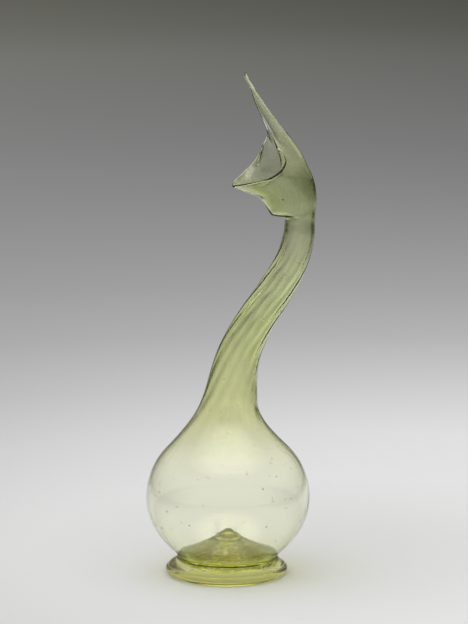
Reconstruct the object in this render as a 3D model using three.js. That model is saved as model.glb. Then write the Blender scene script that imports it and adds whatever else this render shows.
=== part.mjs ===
// A swan-neck bottle of pale green glass: a round body with a kicked-up base, a leaning neck with
// faint twisted ribs, and a flared mouth whose back is drawn up into a long folded tip. It stands on
// a thread of glass wound twice round the base. Millimetres, +Z up, the mouth opens towards -X.
import * as THREE from "three";

// Gap where two pieces of glass meet, and how finely the round forms are cut.
const fit = 0.3;
const around = 48;
const sideSteps = 6;
const neckSteps = 18;
const footSteps = 48;

// Glass thickness: thin in the blown body, thick in the neck, thinning again towards the rim.
const bodyWall = 1.5;
const neckWall = 4.4;
const mouthWall = 2.8;
const rimWall = 1.8;

// Body: widest at its middle, tapering down to the collar inside the foot, rounded above and drawn
// in over a hollow shoulder up to the neck.
const bodyRadius = 56.3;
const bodyMiddle = 53.5;
const bodyCrown = 52.5;
const collarRadius = 34;
const heelRadius = 3.4;
const heelBottom = 4.6;
const shoulderStart = 88;
const lowerBendShare = 0.28;
const lowerRiseShare = 0.17;
const upperRiseShare = 0.46;

// Kick: the cone pushed up into the body from below, with a small round knob at its top.
const kickHeight = 31;
const kickTopRadius = 4;
const kickKnob = 1;
const kickWall = 2.6;
const kickFlare = 29.5;
const kickSlope = 0.468;

// Neck: its foot on the shoulder, and the throat where the mouth begins.
const neckFootHeight = 108;
const neckFootLean = -1;
const neckFootRadius = 25.3;
const throatHeight = 241;
const throatReach = 53.9;
const throatRadius = 10.4;

// Twisted ribs left by the mould on the neck and the shoulder.
const ribCount = 12;
const ribDepth = 0.35;
const ribTwist = 2.4;

// Mouth: how far the beak and the tip lie from the throat, and its greatest half width.
const beakReach = 50;
const beakRise = 27.3;
const tipRise = 105.2;
const mouthHalfWidth = 23.3;
const leafCurve = 1.4;

// Foot: two turns of one thread of glass.
const footLean = -1;
const rimRadius = 42;
const lowerTurnHeight = 6.8;
const seamAngle = 1.06;
const seamRise = 1.2;
const seamSlopeShare = 0.46;
const upperTurnHeight = 12.1;
const stepAngle = 0.5;
const stepDrop = 1.2;

// Scar left by the iron that held the bottle, under the kick.
const scarRadius = 8.4;
const scarThickness = 1.6;

// The neck's line: share of its lean, share of its rise, and share of its swelling over the throat.
const neckShares = [
  [0, 0, 1],
  [0.023, 0.049, 0.7],
  [0.049, 0.098, 0.59],
  [0.087, 0.203, 0.43],
  [0.189, 0.356, 0.28],
  [0.399, 0.507, 0.17],
  [0.67, 0.656, 0.115],
  [0.898, 0.807, 0.065],
  [0.99, 0.932, 0.026],
  [1, 1, 0],
];

// The mouth's rings from the throat to just below the rim. Front and back are given as shares of
// the beak's reach and rise, then come the half width, the pinch of the front and the upward bow.
const mouthRingShares = [
  { front: [0.205, 0.12], back: [-0.216, 0.13], width: 0.442, pinch: 0, bow: 0 },
  { front: [0.42, 0.22], back: [-0.226, 0.31], width: 0.471, pinch: 0.5, bow: 0 },
  { front: [0.482, 0.38], back: [-0.236, 0.62], width: 0.558, pinch: 0.35, bow: 0 },
  { front: [0.59, 0.645], back: [-0.2, 0.99], width: 0.692, pinch: 0.15, bow: 0.02 },
  { front: [0.778, 0.815], back: [-0.078, 1.48], width: 0.808, pinch: 0.1, bow: 0.12 },
];
const mouthSteps = [1, 1, 2, 2, 2, 7];

// The rim's half outline from the tip to the beak: share of the beak's reach in front of the throat,
// share of the greatest half width, and share of the tip's rise.
const rimShares = [
  [0.81, 0, 1],
  [0.83, 0.053, 0.983],
  [0.747, 0.062, 0.909],
  [0.65, 0.072, 0.783],
  [0.525, 0.077, 0.672],
  [0.47, 0.09, 0.63],
  [0.452, 0.17, 0.598],
  [0.438, 0.31, 0.558],
  [0.43, 0.5, 0.52],
  [0.409, 0.71, 0.483],
  [0.388, 0.87, 0.452],
  [0.404, 0.955, 0.42],
  [0.487, 1, 0.37],
  [0.62, 0.91, 0.326],
  [0.795, 0.62, 0.293],
  [0.925, 0.35, 0.274],
  [1, 0, 0.258],
];
const leafWallShare = 0.62;

// Glass of each piece.
function glass(color) {
  return new THREE.MeshStandardMaterial({
    color,
    roughness: 0.05,
    metalness: 0,
    transparent: true,
    opacity: 0.4,
    side: THREE.DoubleSide,
  });
}

// Joins rings of equally many points into one closed surface. An endless row of rings closes on
// itself, and any other has its two ends closed by fans.
function skin(rings, endless) {
  const count = rings[0].length;
  const points = rings.flat();
  const faces = [];
  const spans = endless ? rings.length : rings.length - 1;
  for (let span = 0; span < spans; span++) {
    const here = span * count;
    const next = ((span + 1) % rings.length) * count;
    for (let step = 0; step < count; step++) {
      const beside = (step + 1) % count;
      faces.push(here + step, here + beside, next + beside);
      faces.push(here + step, next + beside, next + step);
    }
  }
  if (!endless) {
    closeEnd(points, faces, 0, count, true);
    closeEnd(points, faces, (rings.length - 1) * count, count, false);
  }
  const geometry = new THREE.BufferGeometry().setFromPoints(points);
  geometry.setIndex(faces);
  geometry.computeVertexNormals();
  return geometry;
}

// Closes one ring of a surface by a fan round its middle.
function closeEnd(points, faces, start, count, turned) {
  const middle = new THREE.Vector3();
  for (let step = 0; step < count; step++) middle.add(points[start + step]);
  const centre = points.push(middle.divideScalar(count)) - 1;
  for (let step = 0; step < count; step++) {
    const here = start + step;
    const beside = start + ((step + 1) % count);
    if (turned) faces.push(centre, beside, here);
    else faces.push(centre, here, beside);
  }
}

// Thickness of the wall at a height, from the body through the shoulder to the neck.
function wallAt(height) {
  const gathering = THREE.MathUtils.smoothstep(height, shoulderStart - neckFootRadius / 2, neckFootHeight);
  return THREE.MathUtils.lerp(bodyWall, neckWall, gathering);
}

// The direction out of the glass at each point of a row of rings.
function outwardAt(rings, row, step) {
  const count = rings[row].length;
  const along = new THREE.Vector3().subVectors(
    rings[Math.min(row + 1, rings.length - 1)][step],
    rings[Math.max(row - 1, 0)][step],
  );
  const across = new THREE.Vector3().subVectors(
    rings[row][(step + 1) % count],
    rings[row][(step + count - 1) % count],
  );
  return across.cross(along).normalize();
}

// The inside of a wall of glass whose outside is the given row of rings. Where it meets the next
// piece the wall is cut level.
function inside(rings, thicknessAt, levelRows) {
  return rings.map((ring, row) =>
    ring.map((point, step) => {
      const outward = outwardAt(rings, row, step);
      if (levelRows.includes(row)) outward.setZ(0).normalize();
      return point.clone().addScaledVector(outward, -thicknessAt(point, row / (rings.length - 1)));
    }),
  );
}

// A wall of glass open at both ends, from the rings of its outside.
function wall(rings, thicknessAt, levelRows) {
  return skin([...rings, ...inside(rings, thicknessAt, levelRows).reverse()], true);
}

// Height of a rib over the wall, at an angle round the neck and a height. The ribs fade out
// towards the middle of the body and towards the throat.
function ribRelief(angle, height) {
  const climb = (height - bodyMiddle) / (throatHeight - bodyMiddle);
  const strength = Math.sin(Math.PI * THREE.MathUtils.clamp(climb, 0, 1));
  const twist = (ribTwist * (height - neckFootHeight)) / (throatHeight - neckFootHeight);
  return ribDepth * strength * Math.cos(ribCount * (angle - twist));
}

// A circle of glass across the line of the bottle, ribbed or plain.
function crossRing(centre, tilt, radius, ribbed) {
  const back = new THREE.Vector3(Math.cos(tilt), 0, -Math.sin(tilt));
  const side = new THREE.Vector3(0, 1, 0);
  const ring = [];
  for (let step = 0; step < around; step++) {
    const angle = (2 * Math.PI * step) / around;
    const reach = radius + (ribbed ? ribRelief(angle, centre.z) : 0);
    const point = centre.clone().addScaledVector(back, reach * Math.cos(angle));
    ring.push(point.addScaledVector(side, reach * Math.sin(angle)));
  }
  return ring;
}

// How far the body's axis has leant by a height.
function bodyLean(height) {
  return neckFootLean * THREE.MathUtils.smoothstep(height, shoulderStart, neckFootHeight);
}

// The body's side from the collar to the neck, as radius and height, this far inside the glass. Its
// lower half tapers to the collar just above the foot.
function bodySide(depth) {
  const inward = depth / Math.SQRT2;
  const collarTop = upperTurnHeight + heelRadius / 4 + inward;
  const collarEnd = collarRadius - inward;
  const radius = bodyRadius - depth;
  const crown = bodyCrown - depth;
  const low = new THREE.Vector2(
    THREE.MathUtils.lerp(collarEnd, radius, lowerBendShare),
    THREE.MathUtils.lerp(collarTop, bodyMiddle, lowerRiseShare),
  );
  const high = new THREE.Vector2(radius, THREE.MathUtils.lerp(collarTop, bodyMiddle, upperRiseShare));
  const widest = new THREE.Vector2(radius, bodyMiddle);
  const lower = new THREE.CubicBezierCurve(new THREE.Vector2(collarEnd, collarTop), low, high, widest);
  const highAngle = Math.asin((shoulderStart - bodyMiddle) / crown);
  const upper = new THREE.EllipseCurve(0, bodyMiddle, radius, crown, 0, highAngle, false, 0);
  const start = upper.getPoint(1);
  const slope = new THREE.Vector2(-radius * Math.sin(highAngle), crown * Math.cos(highAngle));
  const reach = neckFootHeight - shoulderStart;
  const neckEnd = new THREE.Vector2(neckFootRadius - depth, neckFootHeight - fit / 2);
  const settle = new THREE.Vector2(neckEnd.x + reach / 4, neckEnd.y - reach / 3);
  const shoulder = new THREE.CubicBezierCurve(start, slope.setLength(reach / 2).add(start), settle, neckEnd);
  const parts = [lower, upper, shoulder].map((part) => part.getPoints(sideSteps).slice(0, -1));
  return [...parts.flat(), neckEnd];
}

// Height of the kick's cone at a radius.
function coneHeight(radius) {
  return kickHeight - kickKnob - kickSlope * radius;
}

// The kick as radius and height from its top outwards, this far under the floor of the body.
function kickSide(depth, edgeRadius) {
  const kick = new THREE.Path();
  const top = kickHeight - depth;
  kick.moveTo(kickTopRadius / 8, top);
  kick.quadraticCurveTo(kickTopRadius / 2, top, kickTopRadius, coneHeight(kickTopRadius) - depth);
  kick.lineTo(edgeRadius, coneHeight(edgeRadius) - depth);
  return kick.getPoints(3);
}

// The heel: from under the kick's edge down, round the bottom, and up to the collar.
function heelSide() {
  const heel = new THREE.Path();
  const middle = collarRadius - heelRadius;
  const inner = middle - heelRadius;
  const fall = coneHeight(inner) - kickWall;
  heel.moveTo(inner - heelRadius / 2, fall + (kickSlope * heelRadius) / 2);
  heel.quadraticCurveTo(inner, fall, inner, heelBottom + heelRadius);
  heel.absarc(middle, heelBottom + heelRadius, heelRadius, Math.PI, 2 * Math.PI, false);
  return heel.getPoints(3);
}

// The body: a hollow ball of glass, thick at the heel, open at the shoulder.
function makeBulb() {
  const heel = heelSide();
  const outside = [...kickSide(kickWall, heel[0].x - heelRadius), ...heel, ...bodySide(0)];
  const floor = [...kickSide(0, kickFlare), ...bodySide(bodyWall)];
  const ringAt = (spot, thickening, ribbed) =>
    crossRing(new THREE.Vector3(bodyLean(spot.y), 0, spot.y), 0, spot.x - thickening, ribbed);
  const outer = outside.map((spot) => ringAt(spot, 0, spot.y > bodyMiddle));
  const inner = floor.map((spot) => ringAt(spot, wallAt(spot.y) - bodyWall, false));
  return skin([...outer, ...inner.reverse()], false);
}

// The neck's rings: circles across its line, narrowing towards the throat.
function neckRings() {
  const lean = throatReach - neckFootLean;
  const rise = throatHeight - neckFootHeight - fit;
  const line = new THREE.CatmullRomCurve3(
    neckShares.map(([x, z]) => new THREE.Vector3(x * lean, 0, z * rise)),
  );
  const swelling = new THREE.SplineCurve(neckShares.map(([, z, swell]) => new THREE.Vector2(z, swell)));
  const rings = [];
  for (let step = 0; step <= neckSteps; step++) {
    const share = step / neckSteps;
    const centre = line.getPoint(share);
    const tangent = line.getTangent(share);
    const rising = THREE.MathUtils.smoothstep(share, 0, 1 / 3);
    const settling = 1 - THREE.MathUtils.smoothstep(share, 5 / 6, 1);
    const tilt = Math.atan2(tangent.x, tangent.z) * rising * settling;
    const swell = Math.max(0, swelling.getPoint(share).y);
    const radius = THREE.MathUtils.lerp(throatRadius, neckFootRadius, swell);
    centre.x += neckFootLean;
    centre.z += neckFootHeight + fit / 2;
    rings.push(crossRing(centre, tilt, radius, true));
  }
  return rings;
}

// The mouth's throat ring, square on the neck's end.
function throatRing() {
  return crossRing(new THREE.Vector3(throatReach, 0, throatHeight + fit / 2), 0, throatRadius, false);
}

// One ring of the mouth through its front and back, in the order of the throat's points.
function mouthRing({ front, back, width, pinch, bow }) {
  const place = ([x, z]) =>
    new THREE.Vector3(throatReach - x * beakReach, 0, throatHeight + z * beakRise);
  const foremost = place(front);
  const hindmost = place(back);
  const middle = foremost.clone().lerp(hindmost, 1 / 2);
  const half = hindmost.clone().sub(middle);
  const ring = [];
  for (let step = 0; step < around; step++) {
    const angle = (2 * Math.PI * step) / around;
    const nose = ((1 - Math.cos(angle)) / 2) ** 2;
    const point = middle.clone().addScaledVector(half, Math.cos(angle));
    point.y = width * mouthHalfWidth * Math.sin(angle) * (1 - pinch * nose);
    point.z += bow * beakRise * Math.sin(angle) ** 2;
    ring.push(point);
  }
  return ring;
}

// The rim: round the lip on one side, up the leaf to the tip, and back down the other side.
function rimRing() {
  const line = new THREE.CatmullRomCurve3(
    rimShares.map(
      ([x, y, z]) =>
        new THREE.Vector3(throatReach - x * beakReach, y * mouthHalfWidth, throatHeight + z * tipRise),
    ),
    false,
    "centripetal",
  );
  const ring = [];
  for (let step = 0; step < around; step++) {
    const share = step / around;
    const point = line.getPointAt(1 - Math.abs(1 - 2 * share));
    if (share > 1 / 2) point.y = -point.y;
    ring.push(point);
  }
  return ring;
}

// Half width of the rim at a height on the leaf.
function leafHalfWidth(height) {
  const rows = rimShares.map(([, y, z]) => [y * mouthHalfWidth, throatHeight + z * tipRise]);
  for (let row = 0; row < rows.length - 1; row++) {
    const [upperWidth, upperHeight] = rows[row];
    const [lowerWidth, lowerHeight] = rows[row + 1];
    if (height > lowerHeight) {
      return THREE.MathUtils.mapLinear(height, upperHeight, lowerHeight, upperWidth, lowerWidth);
    }
    if (lowerWidth === mouthHalfWidth) return mouthHalfWidth;
  }
  return mouthHalfWidth;
}

// How far the leaf's back stands out behind its straight line, at a share of the way up to the
// rim and an angle round the ring. Its lower half curves out and its upper half in.
function leafBend(share, angle) {
  const atBack = ((1 + Math.cos(angle)) / 2) ** 2;
  return leafCurve * atBack * Math.sin(2 * Math.PI * share);
}

// The mouth's rings, drawn through its shaped rings from the throat to the rim.
function mouthRings() {
  const shaped = [throatRing(), ...mouthRingShares.map(mouthRing), rimRing()];
  const lines = shaped[0].map(
    (_, step) => new THREE.CatmullRomCurve3(shaped.map((ring) => ring[step]), false, "centripetal"),
  );
  const rings = [];
  mouthSteps.forEach((steps, span) => {
    for (let step = 0; step < steps; step++) {
      const share = (span + step / steps) / mouthSteps.length;
      const ring = lines.map((line) => line.getPoint(share));
      if (span === mouthSteps.length - 1) {
        ring.forEach((point, place) => (point.x += leafBend(step / steps, (2 * Math.PI * place) / around)));
      }
      rings.push(ring);
    }
  });
  rings.push(shaped.at(-1));
  return rings;
}

// Outline of the foot as radius and height, at an angle round it. The thread's first turn lies
// on its second along a shallow seam, and steps down on to it over a short arc.
function footOutline(angle) {
  const step = Math.exp(-((angle / stepAngle) ** 2));
  const edge = lowerTurnHeight / 2;
  const middle = rimRadius + footLean * Math.cos(angle) - edge;
  const seat = collarRadius + fit;
  const seam = new THREE.Vector2(middle + edge * Math.cos(seamAngle), edge + edge * Math.sin(seamAngle));
  const crest = upperTurnHeight - stepDrop * step;
  const halfway = (seam.x + seat) / 2;
  const climb = THREE.MathUtils.lerp(seam.y, crest, seamSlopeShare);
  const outline = new THREE.Path();
  outline.moveTo(seat + edge / 2, 0);
  outline.lineTo(middle, 0);
  outline.absarc(middle, edge, edge, -Math.PI / 2, seamAngle, false);
  outline.bezierCurveTo(seam.x, seam.y + seamRise, halfway, climb, seat, crest);
  outline.lineTo(seat, edge);
  return outline.getPoints(4);
}

// The foot: one outline per angle, carried right round.
function makeFoot() {
  const sections = [];
  for (let step = 0; step < footSteps; step++) {
    const angle = (2 * Math.PI * step) / footSteps;
    const turned = angle > Math.PI ? angle - 2 * Math.PI : angle;
    sections.push(
      footOutline(turned).map(
        (spot) => new THREE.Vector3(spot.x * Math.cos(angle), spot.x * Math.sin(angle), spot.y),
      ),
    );
  }
  return skin(sections.reverse(), true);
}

// The scar: a small ring of glass left where the iron was broken off.
function makeScar() {
  const half = scarThickness / 2;
  const height = coneHeight(scarRadius + half) - kickWall - half - fit;
  return new THREE.TorusGeometry(scarRadius, half, 8, 24).translate(0, 0, height);
}

// Builds the bottle's pieces and stands them with the middle of their outline over the origin.
function makeBottle() {
  const neckThickness = (point) => wallAt(point.z);
  const leafThickness = (point) => leafWallShare * Math.max(rimWall / 2, leafHalfWidth(point.z));
  const mouthThickness = (point, share) => {
    const flaring = THREE.MathUtils.lerp(neckWall, mouthWall, Math.min(1, 2 * share));
    const thinning = THREE.MathUtils.lerp(flaring, rimWall, THREE.MathUtils.smoothstep(share, 1 / 2, 1));
    return Math.min(thinning, leafThickness(point));
  };
  const pieces = {
    bulb: makeBulb(),
    neck: wall(neckRings(), neckThickness, [0, neckSteps]),
    mouth: wall(mouthRings(), mouthThickness, [0]),
    foot_coil: makeFoot(),
    pontil_scar: makeScar(),
  };
  const bottle = new THREE.Group();
  for (const [name, geometry] of Object.entries(pieces)) {
    const mesh = new THREE.Mesh(geometry, glass(name === "foot_coil" ? 0xb4b068 : 0xb9bf86));
    mesh.name = name;
    bottle.add(mesh);
  }
  const box = new THREE.Box3().setFromObject(bottle);
  const middle = box.getCenter(new THREE.Vector3());
  bottle.position.set(-middle.x, -middle.y, -box.min.z);
  return bottle;
}

export default makeBottle();
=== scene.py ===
"""Looks of a swan-neck bottle of pale green glass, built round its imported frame.

The bottle is one bubble of glass: a round body with a kicked-up base, a leaning neck with faint
twisted ribs, and a flared mouth whose back is drawn up into a long folded tip. It stands on a
thread of glass wound twice round the base. Metres, +Z up, the mouth opens towards -X.
"""

import logging
import math
from dataclasses import dataclass, field
from enum import Enum

import bmesh
import bpy
import numpy as np
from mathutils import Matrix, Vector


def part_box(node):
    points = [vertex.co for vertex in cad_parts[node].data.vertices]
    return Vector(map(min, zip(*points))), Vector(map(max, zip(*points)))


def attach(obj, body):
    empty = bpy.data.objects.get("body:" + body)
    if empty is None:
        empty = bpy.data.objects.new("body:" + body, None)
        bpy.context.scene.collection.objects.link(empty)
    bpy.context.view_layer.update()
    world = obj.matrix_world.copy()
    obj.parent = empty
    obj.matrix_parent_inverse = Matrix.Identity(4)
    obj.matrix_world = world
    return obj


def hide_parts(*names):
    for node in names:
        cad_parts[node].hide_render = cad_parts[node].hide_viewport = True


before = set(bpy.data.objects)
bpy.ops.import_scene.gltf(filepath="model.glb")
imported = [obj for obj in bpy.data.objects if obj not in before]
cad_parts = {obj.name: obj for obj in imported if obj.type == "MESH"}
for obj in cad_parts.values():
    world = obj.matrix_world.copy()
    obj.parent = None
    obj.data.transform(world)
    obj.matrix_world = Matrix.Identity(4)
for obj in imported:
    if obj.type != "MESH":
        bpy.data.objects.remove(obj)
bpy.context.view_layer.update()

MM = 0.001
SHORTEST = 1e-12
SMALLEST = 1e-15
MERGED = 1e-7
CAMERA_TURN = math.radians(-24)
CAMERA_REACH = 2.4
LOG = logging.getLogger("swan_neck_bottle")
Colour = tuple[float, float, float]


class Slot(Enum):
    """The record's material slots."""

    BODY = "body_glass"
    FOOT = "foot_glass"


# ---------------------------------------------------------------------------------------------
# Lines and rings


def smoothstep(value: np.ndarray | float, low: float, high: float) -> np.ndarray | float:
    """Eased share of the way from low to high, kept between 0 and 1."""
    share = np.clip((value - low) / (high - low), 0.0, 1.0)
    return share * share * (3.0 - 2.0 * share)


def drawn_line(knots: np.ndarray, share: float) -> np.ndarray:
    """Point on a smooth line drawn through knots, or on many such lines at once.

    Args:
        knots: Array of shape (knots, ..., axes).
        share: Way along, from 0 to 1, where every span between two knots counts the same.

    Returns:
        The point, or the points, in the shape of one knot.
    """
    spans = len(knots) - 1
    place = share * spans
    span = min(int(place), spans - 1)
    here, there = knots[span], knots[span + 1]
    before = knots[span - 1] if span > 0 else 2 * here - there
    after = knots[span + 2] if span + 2 <= spans else 2 * there - here

    def reach(start: np.ndarray, end: np.ndarray) -> np.ndarray:
        """Root of the distance between two knots, which keeps the line from looping."""
        return np.sqrt(np.linalg.norm(end - start, axis=-1, keepdims=True) + SHORTEST)

    first, middle, last = reach(before, here), reach(here, there), reach(there, after)
    leaving = (here - before) / first - (there - before) / (first + middle)
    leaving = (leaving + (there - here) / middle) * middle
    arriving = (there - here) / middle - (after - here) / (middle + last)
    arriving = (arriving + (after - there) / last) * middle
    way = place - span
    return (
        (2 * way**3 - 3 * way**2 + 1) * here
        + (way**3 - 2 * way**2 + way) * leaving
        + (3 * way**2 - 2 * way**3) * there
        + (way**3 - way**2) * arriving
    )


def arc(
    centre: tuple[float, float], size: tuple[float, float], start: float, end: float, steps: int
) -> np.ndarray:
    """Points on an upright ellipse.

    Args:
        centre: Radius and height of its middle.
        size: Its two half axes.
        start: First angle, from the outward direction.
        end: Last angle.
        steps: Number of steps between them.

    Returns:
        Array of steps + 1 rows of radius and height.
    """
    angles = np.linspace(start, end, steps + 1)
    return np.stack([centre[0] + size[0] * np.cos(angles), centre[1] + size[1] * np.sin(angles)], 1)


def bend(corners: list[tuple[float, float]], steps: int) -> np.ndarray:
    """Points on a curve pulled towards its inner corners, from the first corner to the last.

    Args:
        corners: Radius and height of each corner.
        steps: Number of steps along the curve.

    Returns:
        Array of steps + 1 rows of radius and height.
    """
    shares = np.linspace(0, 1, steps + 1)[:, None]
    points = [np.array(corner) * np.ones_like(shares) for corner in corners]
    while len(points) > 1:
        points = [a + (b - a) * shares for a, b in zip(points, points[1:])]
    return points[0]


def eased(rings: np.ndarray, times: int) -> np.ndarray:
    """Rings of vectors, evened out round and along.

    Args:
        rings: Array of shape (rings, around, parts).
        times: How often each is averaged with its neighbours. The end rings keep their place.

    Returns:
        The rings evened out, in the same shape.
    """
    soft = rings.copy()
    for _ in range(times):
        soft = (np.roll(soft, 1, axis=1) + 2 * soft + np.roll(soft, -1, axis=1)) / 4
        soft[1:-1] = (soft[:-2] + 2 * soft[1:-1] + soft[2:]) / 4
    return soft


def outward(rings: np.ndarray) -> np.ndarray:
    """Direction out of the glass at every point of a row of rings.

    Args:
        rings: Array of shape (rings, around, 3).

    Returns:
        Directions of length 1, in the same shape.
    """
    along = np.empty_like(rings)
    along[1:-1] = rings[2:] - rings[:-2]
    along[0], along[-1] = rings[1] - rings[0], rings[-1] - rings[-2]
    across = np.roll(rings, -1, axis=1) - np.roll(rings, 1, axis=1)
    out = np.cross(across, along)
    return out / (np.linalg.norm(out, axis=-1, keepdims=True) + SMALLEST)


def store_flow(piece: bpy.types.Object, flow: np.ndarray) -> None:
    """Stores where the cords of the glass run, one row for each point, as the flow attribute."""
    attribute = piece.data.attributes.new("flow", "FLOAT_VECTOR", "POINT")
    attribute.data.foreach_set("vector", flow.astype(np.float32).ravel())


class Gather:
    """A skin of glass drawn out from a small circle, ring by ring."""

    def __init__(self, name: str, rings: np.ndarray, endless: bool) -> None:
        """Draws the skin.

        Args:
            name: Name of the finished piece.
            rings: Array of shape (rings, around, 3), in the order in which they are drawn.
            endless: True if the last ring joins the first, False if both ends close to a point.
        """
        self.rings = rings
        self.around = rings.shape[1]
        bpy.ops.object.select_all(action="DESELECT")
        bpy.ops.mesh.primitive_circle_add(vertices=self.around, radius=MM)
        self.piece = bpy.context.object
        self.piece.name = self.piece.data.name = name
        bpy.ops.object.mode_set(mode="EDIT")
        self._number()
        self._lay(rings[0])
        if not endless:
            self._close(rings[0])
        for ring in rings[1:]:
            bpy.ops.mesh.extrude_region_move()
            self._lay(ring)
        if endless:
            bpy.ops.mesh.extrude_region_move()
            self._lay(rings[0])
        else:
            self._close(rings[-1])
        bpy.ops.mesh.select_all(action="SELECT")
        bpy.ops.mesh.remove_doubles(threshold=MERGED)
        bpy.ops.mesh.normals_make_consistent(inside=False)
        bpy.ops.object.mode_set(mode="OBJECT")
        bpy.ops.object.shade_smooth()

    def _number(self) -> None:
        """Numbers the circle's points, and each point drawn from one takes its number."""
        mesh = bmesh.from_edit_mesh(self.piece.data)
        place = mesh.verts.layers.int.new("place")
        for number, point in enumerate(mesh.verts):
            point[place] = number
        bmesh.update_edit_mesh(self.piece.data)

    def _lay(self, ring: np.ndarray) -> None:
        """Moves the newest ring of points to its place.

        Args:
            ring: Where each of its points goes.
        """
        mesh = bmesh.from_edit_mesh(self.piece.data)
        mesh.verts.ensure_lookup_table()
        place = mesh.verts.layers.int["place"]
        for point in mesh.verts[-self.around :]:
            point.co = ring[point[place]]
        bmesh.update_edit_mesh(self.piece.data, loop_triangles=False, destructive=False)

    def _close(self, ring: np.ndarray) -> None:
        """Closes the newest ring with faces to its middle, and leaves the middle unselected.

        Args:
            ring: Where the ring's points are.
        """
        mesh = bmesh.from_edit_mesh(self.piece.data)
        mesh.verts.ensure_lookup_table()
        kept = list(mesh.verts[-self.around :])
        loop = [edge for edge in mesh.edges if edge.is_wire or edge.is_boundary]
        middle = mesh.verts.new(ring.mean(axis=0))
        for edge in loop:
            if edge.verts[0] in kept and edge.verts[1] in kept:
                mesh.faces.new((edge.verts[0], edge.verts[1], middle))
        middle.select = False
        bmesh.update_edit_mesh(self.piece.data)


# ---------------------------------------------------------------------------------------------
# Materials


@dataclass
class Strand:
    """One value inside a material. Arithmetic on it adds Math nodes."""

    sheet: "NodeSheet"
    socket: bpy.types.NodeSocket

    def _maths(self, operation: str, first: "Strand | float", second: "Strand | float") -> "Strand":
        """Adds one Math node for an operation on two values."""
        node = self.sheet.add("ShaderNodeMath", {"operation": operation}, {0: first, 1: second})
        return Strand(self.sheet, node.outputs[0])

    def __add__(self, other: "Strand | float") -> "Strand":
        """Sum."""
        return self._maths("ADD", self, other)

    def __radd__(self, other: float) -> "Strand":
        """Sum with a number in front."""
        return self._maths("ADD", other, self)

    def __sub__(self, other: "Strand | float") -> "Strand":
        """Difference."""
        return self._maths("SUBTRACT", self, other)

    def __rsub__(self, other: float) -> "Strand":
        """Difference from a number."""
        return self._maths("SUBTRACT", other, self)

    def __mul__(self, other: "Strand | float") -> "Strand":
        """Product."""
        return self._maths("MULTIPLY", self, other)

    def __rmul__(self, other: float) -> "Strand":
        """Product with a number in front."""
        return self._maths("MULTIPLY", other, self)

    def __truediv__(self, other: "Strand | float") -> "Strand":
        """Quotient."""
        return self._maths("DIVIDE", self, other)

    def __rtruediv__(self, other: float) -> "Strand":
        """Quotient of a number."""
        return self._maths("DIVIDE", other, self)

    def __gt__(self, other: "Strand | float") -> "Strand":
        """1 where this value is the greater, and 0 elsewhere."""
        return self._maths("GREATER_THAN", self, other)

    def __lt__(self, other: "Strand | float") -> "Strand":
        """1 where this value is the smaller, and 0 elsewhere."""
        return self._maths("LESS_THAN", self, other)

    def lowest(self, other: "Strand | float") -> "Strand":
        """The smaller of two values."""
        return self._maths("MINIMUM", self, other)

    def highest(self, other: "Strand | float") -> "Strand":
        """The greater of two values."""
        return self._maths("MAXIMUM", self, other)


class NodeSheet:
    """The nodes of one material or world."""

    def __init__(self, owner: bpy.types.Material | bpy.types.World) -> None:
        """Starts with an empty node tree.

        Args:
            owner: The material or world that the nodes belong to.
        """
        owner.use_nodes = True
        self.tree = owner.node_tree
        self.tree.nodes.clear()

    def add(
        self, kind: str, settings: dict | None = None, inputs: dict | None = None
    ) -> bpy.types.Node:
        """Adds a node.

        Args:
            kind: The node's type.
            settings: Its settings, set before its sockets. Stops are a ramp's places and colours.
            inputs: Values or links by socket name or number.

        Returns:
            The node.
        """
        node = self.tree.nodes.new(kind)
        for name, setting in (settings or {}).items():
            if name == "stops":
                self._ramp(node, setting)
            else:
                setattr(node, name, setting)
        for name, value in (inputs or {}).items():
            open_sockets = [socket for socket in node.inputs if socket.enabled]
            by_name = [socket for socket in open_sockets if socket.name == name]
            socket = open_sockets[name] if isinstance(name, int) else by_name[0]
            if isinstance(value, Strand):
                self.tree.links.new(value.socket, socket)
            elif isinstance(value, bpy.types.NodeSocket):
                self.tree.links.new(value, socket)
            else:
                socket.default_value = value
        return node

    def _ramp(self, node: bpy.types.Node, stops: list[tuple[float, Colour]]) -> None:
        """Sets a colour ramp's stops.

        Args:
            node: The ramp.
            stops: Place from 0 to 1 and colour of each.
        """
        elements = node.color_ramp.elements
        while len(elements) < len(stops):
            elements.new(1.0)
        for element, (place, colour) in zip(elements, stops):
            element.position = place
            element.color = (*colour, 1.0)

    def value(self, node: bpy.types.Node, name: str | int) -> Strand:
        """One output of a node, as a value for arithmetic."""
        return Strand(self, node.outputs[name])

    def mix(
        self, factor: "Strand | float", first: object, second: object, blend: str = "MIX"
    ) -> bpy.types.NodeSocket:
        """Mixes two colours.

        Args:
            factor: Share of the second one.
            first: The first colour or its socket.
            second: The second colour or its socket.
            blend: How the second is laid on the first.

        Returns:
            The socket of the result.
        """
        node = self.add(
            "ShaderNodeMix",
            {"data_type": "RGBA", "blend_type": blend},
            {"Factor": factor, "A": first, "B": second},
        )
        return next(socket for socket in node.outputs if socket.enabled)

    def carried(
        self,
        value: Strand,
        span: tuple[float, float],
        ends: tuple["Strand | float", "Strand | float"],
        way: str = "SMOOTHSTEP",
    ) -> Strand:
        """Goes from one value to another while a value crosses a span.

        Args:
            value: The value that crosses the span.
            span: Where it starts and where it ends.
            ends: The result at the start and before it, and at the end and after it.
            way: SMOOTHSTEP for an eased way, or LINEAR.

        Returns:
            The result.
        """
        node = self.add(
            "ShaderNodeMapRange",
            {"interpolation_type": way},
            {
                "Value": value,
                "From Min": span[0],
                "From Max": span[1],
                "To Min": ends[0],
                "To Max": ends[1],
            },
        )
        return self.value(node, "Result")


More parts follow.
